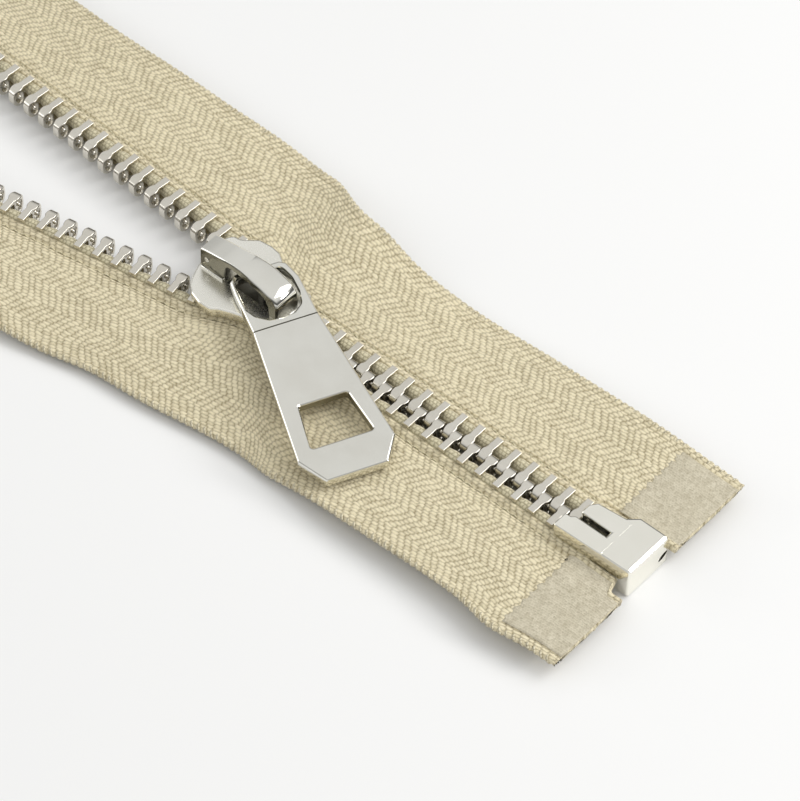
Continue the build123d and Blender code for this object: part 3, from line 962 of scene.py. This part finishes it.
def slider_shell():
    """The slider's two plates, its side walls and the post between them."""
    near = [(61.15, 0.6), (61.0, 1.5), (60.3, 3.25), (59.75, 4.15), (58.7, 5.0), (57.2, 5.45)]
    near += [(55.6, 5.4), (54.85, 4.8), (53.4, 4.2), (52.3, 3.85), (50.0, 3.7), (48.5, 3.55)]
    near += [(48.1, 3.2)]
    far = [(48.1, -3.2), (48.6, -3.7), (51.4, -4.05), (53.2, -4.6), (54.2, -5.2), (55.3, -5.9)]
    far += [(56.6, -6.05), (58.3, -5.85), (59.6, -4.75), (60.0, -4.45), (60.95, -4.35)]
    far += [(61.55, -3.3), (61.4, -1.5), (61.2, -0.6)]
    outline = rounded(near + far, 0.8)
    upper = plate("upper", [outline], 3.5, 4.4, 0.26)
    upper = carved(upper, [bar("recess", (53.4, -0.05, 4.4), (6.6, 2.5, 0.9))])
    lower_outline = rounded([(x - 0.05, y * 0.985) for x, y in near + far], 0.8)
    lower = plate("lower", [lower_outline], 0.0, 0.9, 0.24)
    pieces = [upper, lower]
    steps = np.linspace(48.6, 58.4, 12)
    for side in (LEFT, RIGHT):
        wall = near if side == LEFT else far
        xs = np.array([p[0] for p in wall])
        ys = np.array([abs(p[1]) for p in wall])
        order = np.argsort(xs)
        edge_y = np.interp(steps, xs[order], ys[order]) - 0.3
        inner = [abs(float(laid(x, 0, side)[1])) + TOOTH_END_CLEAR for x in steps]
        ring = [(x, side * min(i, e - 0.12)) for x, i, e in zip(steps, inner, edge_y)]
        ring += [(x, side * e) for x, e in zip(steps[::-1], edge_y[::-1])]
        pieces.append(plate("wall", [np.array(ring)], 0.7, MID_Z - 0.5, 0.05))
        pieces.append(plate("wall", [np.array(ring)], MID_Z + 0.5, 3.7, 0.05))
    post_x = np.linspace(55.6, 60.2, 8)
    room = [min(abs(float(laid(x, 0, side)[1])) for side in (LEFT, RIGHT)) for x in post_x]
    post = [(x, max(y - 1.05, 0.14)) for x, y in zip(post_x, room)]
    post += [(x, -y) for x, y in post[::-1]]
    pieces.append(plate("post", [np.array(post)], 0.5, 3.9, 0.04))
    obj = joined("slider_shell", pieces)
    mark_sharp(obj, SHARP_METAL)
    dress(obj, satin)
    # painted shade on the recess under the arch
    darken(obj, (50.0, -1.35, 3.6), (56.8, 1.25, 4.3))
    return obj


def tab():
    """The pull tab: a ring with a bar, a crease, and a tapered blade with a window."""
    outline = [(-0.3, -2.9), (0.5, -3.72), (2.4, -3.84), (7.9, -3.84), (25.6, -5.58), (29.05, -3.55)]
    outline += [(29.05, 3.6), (26.0, 5.6), (7.9, 3.88), (2.4, 3.78), (0.2, 3.1), (-0.3, 2.4)]
    outline = rounded(outline, 0.35, 4)
    eye = [(0.45, -3.3), (4.7, -3.36), (5.9, -2.75), (6.85, -1.5), (7.05, 0.0), (6.85, 1.5)]
    eye += [(6.0, 2.6), (4.4, 2.95), (2.3, 2.9), (0.45, 2.3)]
    eye = rounded(eye, 0.9, 5)
    window = rounded([(18.88, -2.83), (24.6, -3.62), (24.6, 3.72), (18.88, 2.86)], 0.42, 6)
    blade = plate("tab", [outline, eye, window], -0.66, 0.725, 0.25)
    crease = bar("crease", (7.9, 0, 0.76), (0.17, 9.0, 0.34))
    carved(blade, [crease])
    rod = ball("rod", (0.05, -0.3, 0), (0.40, 3.2, 0.40))
    obj = joined("pull_tab_shape", [blade, rod])
    mark_sharp(obj, SHARP_TAB)
    dress(obj, nickel)
    # painted shade in the crease
    darken(obj, (7.8, -4.2, 0.3), (8.0, 4.2, 0.7))
    # painted shade on the window's inner walls, with the darker olive side metal
    obj.data.materials.append(shaded_side_metal)
    for face in obj.data.polygons:
        x, y, z = face.center / MM
        by_window = 18.6 < x < 24.8 and abs(y) < 3.75 and abs(z) < 0.6
        if by_window and abs(face.normal.z) < 0.3:
            face.material_index = len(obj.data.materials) - 1
    place = Matrix.Translation(Vector(HINGE) * MM)
    place = place @ Matrix.Rotation(TAB_YAW, 4, "Z") @ Matrix.Rotation(TAB_DROOP, 4, "Y")
    obj.data.transform(place @ Matrix.Translation(Vector((0, TAB_ASIDE, 0)) * MM))
    return obj


def box():
    """The retainer box: a folded shell with a slanted witness hole in its end."""
    outline = rounded([(-2.45, -3.88), (1.35, -3.88), (2.6, -2.74), (2.62, 2.82), (-2.42, 2.74)], 0.35, 6)
    shell = plate("retainer_shell", [outline], 0.0, 4.4, 0.36)
    middle = (-2.45, -3.0, 1.75)
    hole = ball("hole", middle, (1.1, 0.80, 0.34))
    there, back = (Matrix.Translation(Vector(middle) * MM * way) for way in (1, -1))
    hole.data.transform(there @ Matrix.Rotation(math.radians(-24), 4, "X") @ back)
    carved(shell, [hole])
    mark_sharp(shell, SHARP_METAL)
    dress(shell, bright)
    # painted shade inside the witness hole
    darken(shell, (-2.36, -3.7, 1.2), (-1.2, -2.3, 2.4))
    return shell


def pin(side):
    """A pin: the stout bar beside the slot, rounded where the teeth begin."""
    if side == LEFT:
        outline = [(1.3, 0.56), (2.6, 0.56), (6.75, 0.56), (7.0, 0.92), (7.85, 0.95), (7.85, 3.0)]
        outline += [(2.4, 2.86), (1.3, 2.8)]
    else:
        outline = [(1.3, -0.2), (6.65, -0.2), (6.65, -1.5), (6.0, -2.35), (2.4, -2.72), (1.3, -2.72)]
    outline = rounded(outline, 0.3, 5)
    stem = plate(f"{NAMES[side]}_stem", [outline], 0.02, 4.402, 0.2)
    mark_sharp(stem, SHARP_METAL)
    return dress(stem, bright)


plated_pieces = (
    (box(), "retainer_box", "closed_chain"),
    (pin(LEFT), "fixed_pin", "closed_chain"),
    (pin(RIGHT), "insertion_pin", "closed_chain"),
    (crown(), "slider_crown", "slider"),
    (slider_shell(), "slider_body", "slider"),
    (tab(), "pull_tab", "pull_tab"),
)
for piece, node, body in plated_pieces:
    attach(piece, body)
    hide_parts(node)


# ------------------------------------------------------------ metal parts that keep their CAD shape
for node in ("top_stop_left", "top_stop_right"):
    dress(nodes[node], nickel)
for node in ("locking_pin", "lock_spring"):
    dress(nodes[node], steel)


# ------------------------------------------------------------ floor, light and camera
def make_floor():
    """A pale floor, just under what the zipper rests on."""
    size = 3.0
    corners = [(-size, -size, 0), (size, -size, 0), (size, size, 0), (-size, size, 0)]
    floor = make_object("floor", corners, [(0, 1, 2, 3)], False, mm=False)
    floor.location.z = -0.00002
    made, _, shader = material("pale_floor")
    shader.inputs["Base Color"].default_value = (0.87, 0.87, 0.865, 1)
    shader.inputs["Roughness"].default_value = 0.9
    shader.inputs["Specular IOR Level"].default_value = 0.0
    dress(floor, made)
    floor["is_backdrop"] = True


def make_world():
    """A studio's soft surroundings, dark near the horizon and pale overhead."""
    world = bpy.data.worlds.new("studio")
    bpy.context.scene.world = world
    world.use_nodes = True
    tree = world.node_tree
    place = tree.nodes.new("ShaderNodeTexCoord").outputs["Generated"]
    parts = tree.nodes.new("ShaderNodeSeparateXYZ")
    tree.links.new(place, parts.inputs[0])
    ramp = tree.nodes.new("ShaderNodeValToRGB")
    stops = [(0.0, 0.5), (0.06, 0.16), (0.26, 0.10), (0.42, 0.55), (0.60, 0.93), (1.0, 1.0)]
    while len(ramp.color_ramp.elements) < len(stops):
        ramp.color_ramp.elements.new(0.5)
    for element, (position, value) in zip(ramp.color_ramp.elements, stops):
        element.position = position
        element.color = (value, value, value * 0.99, 1)
    tree.links.new(parts.outputs["Z"], ramp.inputs[0])
    back = tree.nodes["Background"]
    tree.links.new(ramp.outputs[0], back.inputs["Color"])
    back.inputs["Strength"].default_value = 0.80


def area_light(name, at_mm, target_mm, size_mm, watts, size_y_mm=None):
    """A square lamp, or one of another height, aimed at a point."""
    data = bpy.data.lights.new(name, "AREA")
    data.shape = "RECTANGLE"
    data.size = size_mm * MM
    data.size_y = (size_y_mm or size_mm) * MM
    data.energy = watts
    obj = linked(name, data)
    obj.location = Vector(at_mm) * MM
    aim = (Vector(target_mm) - Vector(at_mm)).normalized()
    obj.rotation_mode = "QUATERNION"
    obj.rotation_quaternion = aim.to_track_quat("-Z", "Y")


def make_camera():
    """The photo's camera, as fitted to the tooth rows, the tape edges and the box."""
    azimuth, elevation = math.radians(131.575), math.radians(50.868)
    distance_m = 0.450
    target = Vector((33.481, -1.481, 0)) * MM
    level = math.cos(elevation)
    back = Vector((level * math.cos(azimuth), level * math.sin(azimuth), math.sin(elevation)))
    data = bpy.data.cameras.new("camera")
    data.sensor_fit = "HORIZONTAL"
    data.sensor_width = 36.0
    data.lens = 184.18
    data.clip_start = 0.01
    data.clip_end = 20
    camera = linked("camera", data)
    camera.location = target + back * distance_m
    camera.rotation_mode = "QUATERNION"
    camera.rotation_quaternion = (-back).to_track_quat("-Z", "Y")
    bpy.context.scene.camera = camera


make_floor()
make_world()
area_light("key", (-230, -330, 470), (45, 0, 0), 420, 1.7)
area_light("window", (-420, -260, 230), (45, 0, 5), 160, 0.9, 110)
area_light("strip", (367, 202, 129), (45, 0, 5), 260, 0.24, 150)
make_camera()
bpy.context.scene.view_settings.view_transform = "Standard"

low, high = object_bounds()
